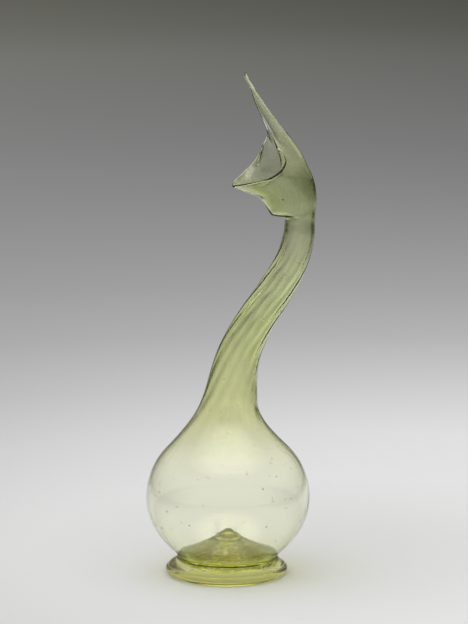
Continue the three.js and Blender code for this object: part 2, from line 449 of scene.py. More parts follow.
@dataclass(frozen=True)
class BlownGlass:
    """Clear green glass: what it takes from the light on its way, its waves, cords and seeds.

    The glass tints light twice: by its thickness, through kept and density, and at its skin, where
    pale and deep follow the cords and gathered follows the height. The light that it lets through
    into its shadow takes the colour of shade. The kick's tint is partly the olive of its thick
    glass and partly painted shade, standing in for the shadowed table seen through it: weaker at
    its heart and strongest on rings round its knob and the iron's ridge.
    """

    name: str
    kept: Colour
    density: float
    pale: Colour = (1.0, 1.0, 0.995)
    deep: Colour = (0.99, 0.987, 0.965)
    shade: Colour = (0.94, 0.94, 0.88)
    gathered: tuple[tuple[float, Colour], ...] = (
        (0.07, (1.0, 1.0, 1.0)),
        (0.085, (0.99, 0.985, 0.975)),
        (0.1, (0.95, 0.944, 0.83)),
        (0.114, (0.93, 0.925, 0.735)),
        (0.14, (0.945, 0.96, 0.765)),
        (0.173, (0.88, 0.915, 0.715)),
        (0.2, (0.95, 0.98, 0.85)),
        (0.23, (0.99, 1.0, 0.93)),
        (0.246, (0.87, 0.905, 0.75)),
        (0.258, (0.765, 0.8, 0.585)),
        (0.268, (0.81, 0.85, 0.64)),
        (0.285, (0.98, 1.0, 0.86)),
        (0.312, (0.98, 1.0, 0.905)),
    )
    gathered_share: float = 1.9
    # Painted shade: the kick's tint darkens it for the shadowed table seen through it, over its
    # olive glass.
    kick: Colour = (0.4, 0.34, 0.0)
    kick_heart: tuple[float, float] = (13 * MM, 27 * MM)
    kick_heart_share: float = 0.3
    kick_rings: tuple[tuple[float, float], ...] = ((3.3 * MM, 5.0 * MM), (7.7 * MM, 8.8 * MM))
    kick_ring_share: float = 0.85
    kick_grain_size: float = 1 / 330
    kick_grain_height: float = 0.25 * MM
    kick_grain_contrast: float = 6.5
    kick_grain_start: float = 2.1
    kick_reach: tuple[float, float] = (27 * MM, 32 * MM)
    kick_top: float = 33 * MM
    wave_size: float = 22 * MM
    wave_height: float = 0.12 * MM
    wave_roughness: float = 0.02
    cord_size: float = 1 / 21
    cord_height: float = 0.05 * MM
    seed_spacing: float = 5.2 * MM
    seed_share: float = 0.25
    seed_size: float = 0.1
    seed_depth: float = 0.5 * MM
    seed_tint: Colour = (0.3, 0.33, 0.16)
    seed_tint_share: float = 0.6
    bubble_spacing: float = 11 * MM
    bubble_share: float = 0.3
    bubble_size: float = 0.075
    refraction: float = 1.5
    joint_radii: tuple[float, float] = (33.96 * MM, 34.14 * MM)
    joint_heights: tuple[float, float] = (8.1 * MM, 11.3 * MM)

    def made(self, axis: float) -> bpy.types.Material:
        """Makes the material.

        Args:
            axis: Distance of the foot's middle from the origin.

        Returns:
            The material, read from each piece's own flow attribute and from its place.
        """
        material = bpy.data.materials.new(self.name)
        sheet = NodeSheet(material)
        place = sheet.add("ShaderNodeTexCoord").outputs["Object"]
        flow = sheet.add("ShaderNodeAttribute", {"attribute_name": "flow"}).outputs["Vector"]
        waves = self._noise(sheet, place, self.wave_size, 2.0)
        cords = self._noise(sheet, flow, self.cord_size, 3.0)
        fine = self._seeds(sheet, place, self.seed_spacing, self.seed_share, self.seed_size)
        large = self._seeds(sheet, place, self.bubble_spacing, self.bubble_share, self.bubble_size)
        seeds = fine.highest(large)
        radius, rise = self._from_axis(sheet, place, axis)
        on_kick = sheet.carried(radius, self.kick_reach, (1.0, 0.0)) * (rise < self.kick_top)
        grain = self._noise(sheet, place, self.kick_grain_size, 3.0) * on_kick
        height = waves * self.wave_height + cords * self.cord_height
        height = height - seeds * self.seed_depth + grain * self.kick_grain_height
        bump = sheet.add(
            "ShaderNodeBump", inputs={"Strength": 1.0, "Distance": 1.0, "Height": height}
        )
        tint = self._height_tint(sheet, cords, rise)
        # Painted shade on the kick, over the olive of its glass.
        kick_shade_share = self._painted_kick_shade(sheet, radius, on_kick, grain)
        tint = sheet.mix(kick_shade_share, tint, (*self.kick, 1), "MULTIPLY")
        tint = sheet.mix(seeds * self.seed_tint_share, tint, (*self.seed_tint, 1))
        shader = sheet.add(
            "ShaderNodeBsdfPrincipled",
            inputs={
                "Base Color": tint,
                "Roughness": waves * self.wave_roughness,
                "IOR": self.refraction,
                "Transmission Weight": 1.0,
                "Alpha": self._apart(radius, rise),
                "Normal": bump.outputs["Normal"],
            },
        )
        inside = sheet.add(
            "ShaderNodeVolumeAbsorption", inputs={"Color": (*self.kept, 1), "Density": self.density}
        )
        passing = sheet.add("ShaderNodeBsdfTransparent", inputs={"Color": (*self.shade, 1)})
        ray = sheet.add("ShaderNodeLightPath").outputs["Is Shadow Ray"]
        surface = sheet.add(
            "ShaderNodeMixShader", inputs={0: ray, 1: shader.outputs[0], 2: passing.outputs[0]}
        )
        sheet.add(
            "ShaderNodeOutputMaterial",
            inputs={"Surface": surface.outputs[0], "Volume": inside.outputs[0]},
        )
        return material

    def _from_axis(
        self, sheet: NodeSheet, place: bpy.types.NodeSocket, axis: float
    ) -> tuple[Strand, Strand]:
        """Finds a place from the upright line through the foot's middle.

        Args:
            sheet: The material's nodes.
            place: The place on the piece.
            axis: Distance of the foot's middle from the origin.

        Returns:
            Distance from that line, and height.
        """
        middle = (axis, 0.0, 0.0)
        moved = sheet.add("ShaderNodeVectorMath", {"operation": "SUBTRACT"}, {0: place, 1: middle})
        flat = sheet.add(
            "ShaderNodeVectorMath",
            {"operation": "MULTIPLY"},
            {0: moved.outputs[0], 1: (1.0, 1.0, 0.0)},
        )
        radius = sheet.add("ShaderNodeVectorMath", {"operation": "LENGTH"}, {0: flat.outputs[0]})
        rise = sheet.add("ShaderNodeSeparateXYZ", inputs={0: place})
        return sheet.value(radius, "Value"), sheet.value(rise, "Z")

    def _height_tint(self, sheet: NodeSheet, cords: Strand, rise: Strand) -> bpy.types.NodeSocket:
        """Tints the skin by its cords and by height, most where the cords are deep.

        Args:
            sheet: The material's nodes.
            cords: How deep the cords are.
            rise: Height on the bottle.

        Returns:
            The tint.
        """
        skin = sheet.mix(cords, (*self.pale, 1), (*self.deep, 1))
        top = self.gathered[-1][0]
        stops = [(level / top, colour) for level, colour in self.gathered]
        levels = sheet.add("ShaderNodeValToRGB", {"stops": stops}, {0: rise * (1 / top)})
        return sheet.mix(cords * self.gathered_share, skin, levels.outputs[0], "MULTIPLY")

    def _painted_kick_shade(
        self, sheet: NodeSheet, radius: Strand, on_kick: Strand, grain: Strand
    ) -> Strand:
        """Spreads the kick's tint: the olive of its glass, and painted shade.

        Args:
            sheet: The material's nodes.
            radius: Distance from the foot's middle.
            on_kick: 1 on the kick and 0 off it.
            grain: The kick's grain.

        Returns:
            Share of the tint and painted shade: broken by the grain, weaker at the heart and strong
                on the rings.
        """
        heart = sheet.carried(radius, self.kick_heart, (self.kick_heart_share, 1.0))
        share = (grain * self.kick_grain_contrast - on_kick * self.kick_grain_start) * heart
        for inner, outer in self.kick_rings:
            ring = (radius > inner) * (radius < outer) * on_kick
            share = share.highest(ring * self.kick_ring_share)
        return share

    def _apart(self, radius: Strand, rise: Strand) -> Strand:
        """Finds where foot and body are apart.

        Args:
            radius: Distance from the foot's middle.
            rise: Height on the bottle.

        Returns:
            0 where the foot is fused to the body, so that light crosses the joint, or else 1.
        """
        inner, outer = self.joint_radii
        bottom, top = self.joint_heights
        return 1 - (radius > inner) * (radius < outer) * (rise > bottom) * (rise < top)

    def _noise(
        self, sheet: NodeSheet, place: bpy.types.NodeSocket, size: float, detail: float
    ) -> Strand:
        """Makes smooth noise.

        Args:
            sheet: The material's nodes.
            place: Where it is read.
            size: Size of its swells.
            detail: Number of finer layers.

        Returns:
            The noise, from 0 to 1.
        """
        node = sheet.add(
            "ShaderNodeTexNoise", inputs={"Vector": place, "Scale": 1 / size, "Detail": detail}
        )
        return sheet.value(node, 0)

    def _seeds(
        self,
        sheet: NodeSheet,
        place: bpy.types.NodeSocket,
        spacing: float,
        share: float,
        size: float,
    ) -> Strand:
        """Scatters bubbles.

        Args:
            sheet: The material's nodes.
            place: The place on the piece.
            spacing: Size of the cells, each of which can hold one.
            share: Share of the cells that hold one.
            size: Radius of a bubble as a share of the spacing.

        Returns:
            1 in the middle of each bubble and 0 between them.
        """
        cells = sheet.add("ShaderNodeTexVoronoi", inputs={"Vector": place, "Scale": 1 / spacing})
        parts = sheet.add("ShaderNodeSeparateColor", inputs={0: cells.outputs["Color"]})
        chosen = sheet.value(parts, 0) > (1 - share)
        near = (1 - sheet.value(cells, "Distance") * (1 / size)).highest(0.0)
        return near * chosen


@dataclass(frozen=True)
class Floor:
    """Pale sweep under the bottle, with a pool of light painted into its tone that dies away to
    grey.

    Each of its tones has a distance from the pool, how pale it is there, and how much paler or
    darker it gets towards the right, which is painted light from one side. In front of the bottle
    it falls away more slowly, and towards either side it is painted darker, as painted shade.
    """

    radius: float = 14.0
    sides: int = 96
    tones: tuple[tuple[float, float, float], ...] = (
        (0.0, 0.735, 0.015),
        (0.06, 0.742, 0.02),
        (0.22, 0.786, 0.035),
        (0.39, 0.735, 0.065),
        (0.59, 0.61, 0.068),
        (0.82, 0.483, 0.045),
        (1.09, 0.406, 0.03),
        (1.4, 0.352, 0.007),
        (1.77, 0.306, -0.022),
        (2.21, 0.268, -0.042),
        (2.76, 0.241, -0.065),
        (3.3, 0.216, -0.097),
        (3.8, 0.176, -0.12),
        (4.3, 0.151, -0.127),
    )
    pool: tuple[float, float] = (0.1, 0.04)
    right: tuple[float, float] = (math.cos(CAMERA_TURN), math.sin(CAMERA_TURN))
    side_light_level: float = 0.5
    side_light_limit: float = 0.2
    edge_slope: float = 0.048
    side_shade_slopes: tuple[float, float] = (0.085, 0.28)
    side_shade_tone: float = 0.18
    front_start: float = 0.2
    front_share: float = 0.8
    front_widening: float = 6.0
    warm_span: tuple[float, float] = (2.2, 4.3)
    warm_blue: float = 0.86

    def made(self) -> bpy.types.Object:
        """Makes the floor.

        Returns:
            A disc with its own material.
        """
        bpy.ops.object.select_all(action="DESELECT")
        bpy.ops.mesh.primitive_circle_add(
            vertices=self.sides, radius=self.radius, fill_type="NGON"
        )
        floor = bpy.context.object
        floor.name = "floor"
        floor.data.materials.append(self._paint_light_and_shade())
        return floor

    def _paint_light_and_shade(self) -> bpy.types.Material:
        """Mixes matt paint with painted light: a pool of light that falls away round the bottle,
        painted light from one side, and painted shade to either side.

        Returns:
            The material.
        """
        material = bpy.data.materials.new("floor_painted_light")
        sheet = NodeSheet(material)
        place = sheet.add("ShaderNodeTexCoord").outputs["Object"]
        pool = (*self.pool, 0.0)
        moved = sheet.add("ShaderNodeVectorMath", {"operation": "SUBTRACT"}, {0: place, 1: pool})
        length = sheet.add("ShaderNodeVectorMath", {"operation": "LENGTH"}, {0: moved.outputs[0]})
        far = sheet.value(length, "Value")
        reach = self.tones[-1][0]
        ahead = self._along(sheet, place, (-self.right[1], self.right[0]))
        front = (0 - ahead - self.front_start).highest(0.0)
        share = (far - front * self.front_share) * (1 / reach)
        # Painted light: the pool of light round the bottle, falling away to grey.
        stops = [(distance / reach, (tone,) * 3) for distance, tone, _ in self.tones]
        tones = sheet.add("ShaderNodeValToRGB", {"stops": stops}, {0: share})
        # Painted light from one side: paler or darker towards the right.
        stops = [(row[0] / reach, (row[2] + self.side_light_level,) * 3) for row in self.tones]
        side_lights = sheet.add("ShaderNodeValToRGB", {"stops": stops}, {0: share})
        width = ahead + CAMERA_REACH + front * self.front_widening
        slope = self._along(sheet, place, self.right) / width
        tilt = (sheet.value(side_lights, 0) - self.side_light_level) * slope * (1 / self.edge_slope)
        tilt = tilt.highest(-self.side_light_limit).lowest(self.side_light_limit)
        # Painted shade to either side.
        side_shade = sheet.carried(slope.highest(0 - slope), self.side_shade_slopes, (1.0, self.side_shade_tone))
        tone = sheet.value(tones, 0) * (tilt + 1) * side_shade
        blue = tone * sheet.carried(far, self.warm_span, (1.0, self.warm_blue), "LINEAR")
        paint = sheet.add("ShaderNodeCombineColor", inputs={0: tone, 1: tone, 2: blue}).outputs[0]
        shader = sheet.add(
            "ShaderNodeBsdfPrincipled",
            inputs={"Base Color": paint, "Roughness": 1.0, "Specular IOR Level": 0.0},
        )
        sheet.add("ShaderNodeOutputMaterial", inputs={"Surface": shader.outputs[0]})
        return material

    def _along(
        self, sheet: NodeSheet, place: bpy.types.NodeSocket, way: tuple[float, float]
    ) -> Strand:
        """Measures how far a place lies along a level direction.

        Args:
            sheet: The floor's nodes.
            place: The place.
            way: The direction.

        Returns:
            The distance.
        """
        node = sheet.add(
            "ShaderNodeVectorMath", {"operation": "DOT_PRODUCT"}, {0: place, 1: (*way, 0.0)}
        )
        return sheet.value(node, "Value")


# ---------------------------------------------------------------------------------------------
# Pieces


@dataclass
class Vessel:
    """The blown bubble: body, neck and mouth in one skin of glass.

    Heights count from the table and radii from the upright line through the foot's middle. The
    kick's slopes are radii in millimetres and how steeply it falls there. The neck's shares are of
    its lean, its rise and its swelling over the throat. A row of the mouth's shares is one ring:
    its front and its back as reach and rise, its width, how far its front is pinched, and how far
    its sides bow up. The rim's shares are its reach, width and rise.
    """

    axis: float
    around: int = 144
    body_wall: float = 1.0 * MM
    neck_wall: float = 2.0 * MM
    gathered_height: float = 160 * MM
    mouth_wall: float = 1.3 * MM
    rim_wall: float = 1.25 * MM
    chin_wall: float = 0.6 * MM
    bead: float = 0.25 * MM
    body_radius: float = 56.3 * MM
    body_middle: float = 53.5 * MM
    body_crown: float = 52.5 * MM
    collar_radius: float = 34 * MM
    collar_top: float = 12.95 * MM
    heel_radius: float = 3.4 * MM
    heel_bottom: float = 4.6 * MM
    shoulder_start: float = 88 * MM
    lower_bend_share: float = 0.28
    lower_rise_share: float = 0.17
    upper_rise_share: float = 0.46
    kick_height: float = 31 * MM
    kick_wall: float = 3.4 * MM
    kick_slopes: tuple[tuple[float, float], ...] = (
        (0.0, 0.0),
        (1.8, 0.2),
        (3.6, 1.15),
        (5.2, 0.75),
        (11.0, 0.55),
        (18.0, 0.47),
        (25.0, 0.44),
        (34.0, 0.4),
    )
    iron_ridge_radius: float = 8.3 * MM
    iron_ridge_width: float = 0.8 * MM
    iron_ridge_height: float = 1.0 * MM
    neck_foot_height: float = 108 * MM
    neck_foot_lean: float = -1 * MM
    neck_foot_radius: float = 25.3 * MM
    foot_ease: float = 11.0
    foot_ease_row: int = 3
    foot_ease_times: int = 110
    throat_height: float = 241 * MM
    throat_reach: float = 53.85 * MM
    throat_radius: float = 10.4 * MM
    rib_count: int = 12
    rib_depth: float = 0.1 * MM
    rib_inner_depth: float = 0.2 * MM
    rib_twist: float = 2.4
    beak_reach: float = 50 * MM
    beak_rise: float = 27.3 * MM
    tip_rise: float = 104.75 * MM
    mouth_half_width: float = 23.3 * MM
    leaf_curve: float = 1.4 * MM
    leaf_wall_share: float = 0.62
    tip_closing: float = 0.3
    neck_shares: tuple[tuple[float, float, float], ...] = (
        (0, 0, 1),
        (0.023, 0.049, 0.7),
        (0.049, 0.098, 0.59),
        (0.087, 0.203, 0.43),
        (0.189, 0.356, 0.28),
        (0.399, 0.507, 0.17),
        (0.67, 0.656, 0.115),
        (0.898, 0.807, 0.065),
        (0.99, 0.932, 0.026),
        (1, 1, 0),
    )
    mouth_shares: tuple[tuple[float, ...], ...] = (
        (0.205, 0.12, -0.216, 0.13, 0.442, 0, 0),
        (0.42, 0.22, -0.226, 0.31, 0.471, 0.5, 0),
        (0.482, 0.38, -0.236, 0.62, 0.558, 0.35, 0),
        (0.59, 0.645, -0.2, 0.99, 0.692, 0.15, 0.02),
        (0.778, 0.815, -0.078, 1.48, 0.808, 0.1, 0.12),
    )
    mouth_steps: tuple[int, ...] = (4, 4, 6, 7, 8, 26)
    rim_shares: tuple[tuple[float, float, float], ...] = (
        (0.81, 0, 1),
        (0.83, 0.053, 0.983),
        (0.747, 0.062, 0.909),
        (0.65, 0.072, 0.783),
        (0.525, 0.077, 0.672),
        (0.47, 0.09, 0.63),
        (0.452, 0.17, 0.598),
        (0.438, 0.31, 0.558),
        (0.43, 0.5, 0.52),
        (0.409, 0.71, 0.483),
        (0.388, 0.87, 0.452),
        (0.404, 0.955, 0.42),
        (0.487, 1, 0.37),
        (0.62, 0.91, 0.326),
        (0.795, 0.62, 0.293),
        (0.925, 0.35, 0.274),
        (1, 0, 0.258),
    )
    under_steps: int = 18
    turn_steps: int = 6
    heel_steps: int = 10
    side_steps: tuple[int, int, int] = (28, 18, 12)
    neck_steps: int = 64
    lip_steps: int = 7
    valley_steps: int = 8
    kick_steps: int = 26
    kick_samples: int = 200
    kick_start_share: float = 0.02
    kick_crowding: float = 1.25
    valley_flare: float = 0.8 * MM
    valley_inset: float = 0.2 * MM
    floor_gap: float = 0.5 * MM
    neck_slope_reach: float = 0.01
    tilt_rising: tuple[float, float] = (0, 1 / 3)
    tilt_falling: tuple[float, float] = (5 / 6, 1)
    rim_samples: int = 1200
    rim_ease_reach: tuple[float, float] = (6 * MM, 20 * MM)
    rim_ease_times: int = 6
    lip_ease_span: tuple[float, float] = (0.1, 0.6)
    lip_ease_angles: tuple[float, float] = (0.7, 1.2)
    lip_ease_times: int = 24
    leaf_span: tuple[float, float] = (0.46, 0.58)
    mouth_wall_span: tuple[float, float] = (0.0, 0.4)
    rim_wall_span: tuple[float, float] = (0.5, 0.9)
    bead_span: tuple[float, float] = (0.93, 1.0)
    chin_place: float = 0.3
    chin_spread: float = 0.16
    chin_focus: int = 4
    tip_closing_span: tuple[float, float] = (0.88, 0.97)
    wall_ease_times: int = 4
    cord_stretch: float = 3.5
    angles: np.ndarray = field(init=False)

    def __post_init__(self) -> None:
        """Sets the angles of the points round each ring."""
        self.angles = 2 * math.pi * np.arange(self.around) / self.around

    def made(self, finish: BlownGlass) -> bpy.types.Object:
        """Draws the bubble and dresses it.

        Args:
            finish: Its glass.

        Returns:
            The finished piece.
        """
        outer, body_row = self.outer_rings()
        inner = outer - self._into_wall(outer) * self._thickness(outer)[..., None]
        rim = self._rounded_rim(outer, inner)
        spare = inner[:, 0, 2] - self._kick_height(inner[:, 0, 0] - self.axis)
        start = body_row + int(np.argmax(spare[body_row:] > self.floor_gap))
        floor = self._floor_rings(inner[start])
        rings = np.concatenate([outer, rim, inner[start:][::-1], floor])
        piece = Gather("vessel", rings, endless=False).piece
        self._add_flow(piece)
        piece.data.materials.append(finish.made(self.axis))
        return piece

    def outer_rings(self) -> tuple[np.ndarray, int]:
        """Rings of the outside, from the top of the kick's underside to the rim.

        Returns:
            The rings, and the number of the first one of the body's side.
        """
        heel_inner = self.collar_radius - 2 * self.heel_radius
        under = self._kick_side(heel_inner - self.heel_radius, self.under_steps)
        under = under - np.array([0, self.kick_wall])
        heel_middle = self.collar_radius - self.heel_radius
        heel_level = self.heel_bottom + self.heel_radius
        fall = self._kick_height(heel_inner) - self.kick_wall
        corners = [tuple(under[-1]), (heel_inner, fall), (heel_inner, heel_level)]
        turn = bend(corners, self.turn_steps)
        size = (self.heel_radius, self.heel_radius)
        heel = arc((heel_middle, heel_level), size, math.pi, 2 * math.pi, self.heel_steps)
        body = self._body_side()
        profile = np.concatenate([under[:-1], turn[:-1], heel, body])
        circles = [self._level_ring(radius, height) for radius, height in profile]
        rings = np.concatenate([np.array(circles), self._neck_rings(), self._mouth_rings()])
        row = np.arange(len(rings)) - len(circles) - self.foot_ease_row
        share = np.exp(-((row / self.foot_ease) ** 2))[:, None, None]
        joined = rings + (eased(rings, self.foot_ease_times) - rings) * share
        return joined, len(profile) - len(body)

    def _into_wall(self, outer: np.ndarray) -> np.ndarray:
        """Finds the way through the wall, evened out round the lip and level in the leaf.

        Args:
            outer: The rings of the outside.

        Returns:
            Directions of length 1 out of the glass, one for each point.
        """
        out = outward(outer)
        mouth_rows = sum(self.mouth_steps)
        row = np.arange(len(outer)) - (len(outer) - 1 - mouth_rows)
        share = smoothstep(row / mouth_rows, *self.lip_ease_span)[:, None, None]
        from_tip = np.minimum(self.angles, 2 * math.pi - self.angles)
        share = share * smoothstep(from_tip, *self.lip_ease_angles)[None, :, None]
        out = out + (eased(out, self.lip_ease_times) - out) * share
        out /= np.linalg.norm(out, axis=-1, keepdims=True)
        side = np.clip(outer[..., 1] / self._half_width(outer[..., 2]), -1, 1)
        nested = np.stack([np.sqrt(1 - side**2), side, np.zeros_like(side)], -1)
        climb = (outer[..., 2] - self.throat_height) / self.tip_rise
        out = out + (nested - out) * smoothstep(climb, *self.leaf_span)[..., None]
        return out / np.linalg.norm(out, axis=-1, keepdims=True)

    def _half_width(self, height: np.ndarray) -> np.ndarray:
        """Finds half the mouth's width, which is the full width up to the widest part of the lip.

        Args:
            height: Heights on the bottle.

        Returns:
            Half the width at each.
        """
        rim = np.array(self.rim_shares)[::-1]
        heights = self.throat_height + rim[:, 2] * self.tip_rise
        widths = rim[:, 1] * self.mouth_half_width
        widths[: int(np.argmax(widths)) + 1] = self.mouth_half_width
        return np.interp(height, heights, np.maximum(widths, self.rim_wall / 2))

    def _kick_height(self, radius: float | np.ndarray) -> np.ndarray:
        """Adds up the kick's slopes from its top, and the iron's ridge on them.

        Args:
            radius: Distance from the foot's middle, one or many.

        Returns:
            Height of the kick's upper side there.
        """
        table = np.array(self.kick_slopes)
        fine = np.linspace(0, table[-1, 0], self.kick_samples)
        slope = np.interp(fine, table[:, 0], table[:, 1])
        fallen = np.concatenate([[0], np.cumsum((slope[1:] + slope[:-1]) / 2 * np.diff(fine))])
        ridge = np.exp(-(((radius - self.iron_ridge_radius) / self.iron_ridge_width) ** 2))
        fall = np.interp(radius, fine * MM, fallen * MM)
        return self.kick_height - fall + self.iron_ridge_height * ridge

    def _kick_side(self, edge: float, steps: int) -> np.ndarray:
        """Draws the kick's upper side, with its points closer together near its top.

        Args:
            edge: Radius at which it ends.
            steps: Number of steps to there.

        Returns:
            Array of steps + 1 rows of radius and height.
        """
        shares = np.linspace(self.kick_start_share, 1, steps + 1)
        radii = edge * shares**self.kick_crowding
        return np.stack([radii, self._kick_height(radii)], 1)

    def _body_side(self) -> np.ndarray:
        """Draws the body's side from the collar to the neck.

        Returns:
            Rows of radius and height.
        """
        collar = np.array([self.collar_radius, self.collar_top])
        widest = np.array([self.body_radius, self.body_middle])
        low = collar + (widest - collar) * np.array([self.lower_bend_share, self.lower_rise_share])
        rise = self.collar_top + (self.body_middle - self.collar_top) * self.upper_rise_share
        lower_steps, upper_steps, shoulder_steps = self.side_steps
        corners = [tuple(collar), tuple(low), (self.body_radius, rise), tuple(widest)]
        lower = bend(corners, lower_steps)
        high = math.asin((self.shoulder_start - self.body_middle) / self.body_crown)
        middle = (0, self.body_middle)
        upper = arc(middle, (self.body_radius, self.body_crown), 0, high, upper_steps)
        reach = self.neck_foot_height - self.shoulder_start
        slope = np.array([-self.body_radius * math.sin(high), self.body_crown * math.cos(high)])
        slope *= reach / 2 / np.linalg.norm(slope)
        end = (self.neck_foot_radius, self.neck_foot_height)
        settle = (end[0] + reach / 4, end[1] - reach / 3)
        corners = [tuple(upper[-1]), tuple(upper[-1] + slope), settle, end]
        shoulder = bend(corners, shoulder_steps)
        return np.concatenate([lower[:-1], upper[:-1], shoulder[:-1]])

    def _lean(self, height: float | np.ndarray) -> np.ndarray:
        """How far the body's middle has leant by a height."""
        return self.neck_foot_lean * smoothstep(height, self.shoulder_start, self.neck_foot_height)

    def _rib(self, height: float) -> np.ndarray:
        """Height of the ribs over the wall round a ring."""
        return self.rib_depth * self._rib_wave(height)

    def _rib_wave(self, height: float | np.ndarray) -> np.ndarray:
        """Winds the ribs round the neck, strongest at its middle.

        Args:
            height: Height of a ring, or of each of its points.

        Returns:
            Share of a rib's full height round the ring, from -1 in a furrow to 1 on a crest.
        """
        rise = self.throat_height - self.neck_foot_height
        strength = smoothstep(height, self.shoulder_start, self.neck_foot_height + rise / 3)
        strength *= 1 - smoothstep(height, self.throat_height - rise / 3, self.throat_height)
        twist = self.rib_twist * (height - self.neck_foot_height) / rise
        return strength * np.cos(self.rib_count * (self.angles - twist))

    def _level_ring(self, radius: float, height: float) -> np.ndarray:
        """Draws one level circle of the body, ribbed above its middle.

        Args:
            radius: Its radius.
            height: Its height.

        Returns:
            Its points.
        """
        reach = radius + (self._rib(height) if height > self.body_middle else 0)
        x = self.axis + self._lean(height) + reach * np.cos(self.angles)
        y = reach * np.sin(self.angles) * np.ones(self.around)
        return np.stack([x, y, np.full(self.around, height)], 1)

    def _neck_rings(self) -> np.ndarray:
        """Draws circles across the neck's line, from the shoulder to the throat.

        Returns:
            The rings.
        """
        shares = np.array(self.neck_shares)
        lean = self.throat_reach - self.neck_foot_lean
        rise = self.throat_height - self.neck_foot_height
        knots = np.stack([shares[:, 0] * lean, shares[:, 1] * rise], 1)
        rings = []
        for step in range(self.neck_steps):
            share = step / self.neck_steps
            centre = drawn_line(knots, share)
            ahead = drawn_line(knots, min(share + self.neck_slope_reach, 1))
            behind = drawn_line(knots, max(share - self.neck_slope_reach, 0))
            slope = math.atan2(*(ahead - behind))
            tilt = slope * smoothstep(share, *self.tilt_rising)
            tilt *= 1 - smoothstep(share, *self.tilt_falling)
            swell = max(0.0, self._swell_at(shares, centre[1] / rise))
            radius = self.throat_radius + (self.neck_foot_radius - self.throat_radius) * swell
            height = centre[1] + self.neck_foot_height
            reach = radius + self._rib(height)
            x = centre[0] + self.neck_foot_lean + reach * np.cos(self.angles) * math.cos(tilt)
            z = height - reach * np.cos(self.angles) * math.sin(tilt)
            rings.append(np.stack([self.axis + x, reach * np.sin(self.angles), z], 1))
        return np.array(rings)

    def _swell_at(self, shares: np.ndarray, climb: float) -> float:
        """Reads the neck's swelling off a smooth line.

        Args:
            shares: The neck's shares.
            climb: Share of the neck's rise.

        Returns:
            Share of the swelling over the throat.
        """
        knots = shares[:, 1:]
        spans = len(knots) - 1
        span = int(np.clip(np.searchsorted(knots[:, 0], climb) - 1, 0, spans - 1))
        way = (climb - knots[span, 0]) / (knots[span + 1, 0] - knots[span, 0])
        return float(drawn_line(knots, (span + min(max(way, 0), 1)) / spans)[1])

    def _mouth_ring(self, shares: tuple[float, ...]) -> np.ndarray:
        """Draws one shaped ring of the mouth, through its front and its back.

        Args:
            shares: One row of the mouth's shares.

        Returns:
            The ring's points.
        """
        front_x, front_z, back_x, back_z, width, pinch, bow = shares
        front = np.array([self.throat_reach - front_x * self.beak_reach, front_z * self.beak_rise])
        back = np.array([self.throat_reach - back_x * self.beak_reach, back_z * self.beak_rise])
        middle, half = (front + back) / 2, (back - front) / 2
        cosine, sine = np.cos(self.angles), np.sin(self.angles)
        nose = ((1 - cosine) / 2) ** 2
        x = self.axis + middle[0] + half[0] * cosine
        y = width * self.mouth_half_width * sine * (1 - pinch * nose)
        z = self.throat_height + middle[1] + half[1] * cosine + bow * self.beak_rise * sine**2
        return np.stack([x, y, z], 1)

    def _rim_ring(self) -> np.ndarray:
        """Draws the rim: round the lip on one side, up the leaf to the tip, and down the other.

        Returns:
            Its points, an even way apart and evened out between the tip and the lip's front.
        """
        shares = np.array(self.rim_shares)
        knots = np.stack(
            [
                self.axis + self.throat_reach - shares[:, 0] * self.beak_reach,
                shares[:, 1] * self.mouth_half_width,
                self.throat_height + shares[:, 2] * self.tip_rise,
            ],
            1,
        )
        ways = np.linspace(0, 1, self.rim_samples)
        line = np.array([drawn_line(knots, way) for way in ways])
        lengths = np.concatenate([[0], np.cumsum(np.linalg.norm(np.diff(line, axis=0), axis=1))])
        turns = np.arange(self.around) / self.around
        wanted = (1 - np.abs(1 - 2 * turns)) * lengths[-1]
        ring = np.stack([np.interp(wanted, lengths, line[:, axis]) for axis in range(3)], 1)
        ring[turns > 0.5, 1] *= -1
        ends = np.minimum(wanted, lengths[-1] - wanted)
        share = smoothstep(ends, *self.rim_ease_reach)[:, None]
        return ring + (eased(ring[None], self.rim_ease_times)[0] - ring) * share

    def _mouth_rings(self) -> np.ndarray:
        """Draws the mouth from the throat through its shaped rings to the rim.

        Returns:
            The rings, with the leaf's back curved in and out.
        """
        throat = np.stack(
            [
                self.axis + self.throat_reach + self.throat_radius * np.cos(self.angles),
                self.throat_radius * np.sin(self.angles),
                np.full(self.around, self.throat_height),
            ],
            1,
        )
        knots = np.array([throat, *map(self._mouth_ring, self.mouth_shares), self._rim_ring()])
        spans = len(self.mouth_steps)
        rings = []
        for span, steps in enumerate(self.mouth_steps):
            rings += [drawn_line(knots, (span + step / steps) / spans) for step in range(steps)]
        at_back = ((1 + np.cos(self.angles)) / 2) ** 2
        last = self.mouth_steps[-1]
        for step in range(last):
            bow = self.leaf_curve * math.sin(2 * math.pi * step / last)
            rings[step - last][:, 0] += bow * at_back
        return np.array([*rings, knots[-1]])

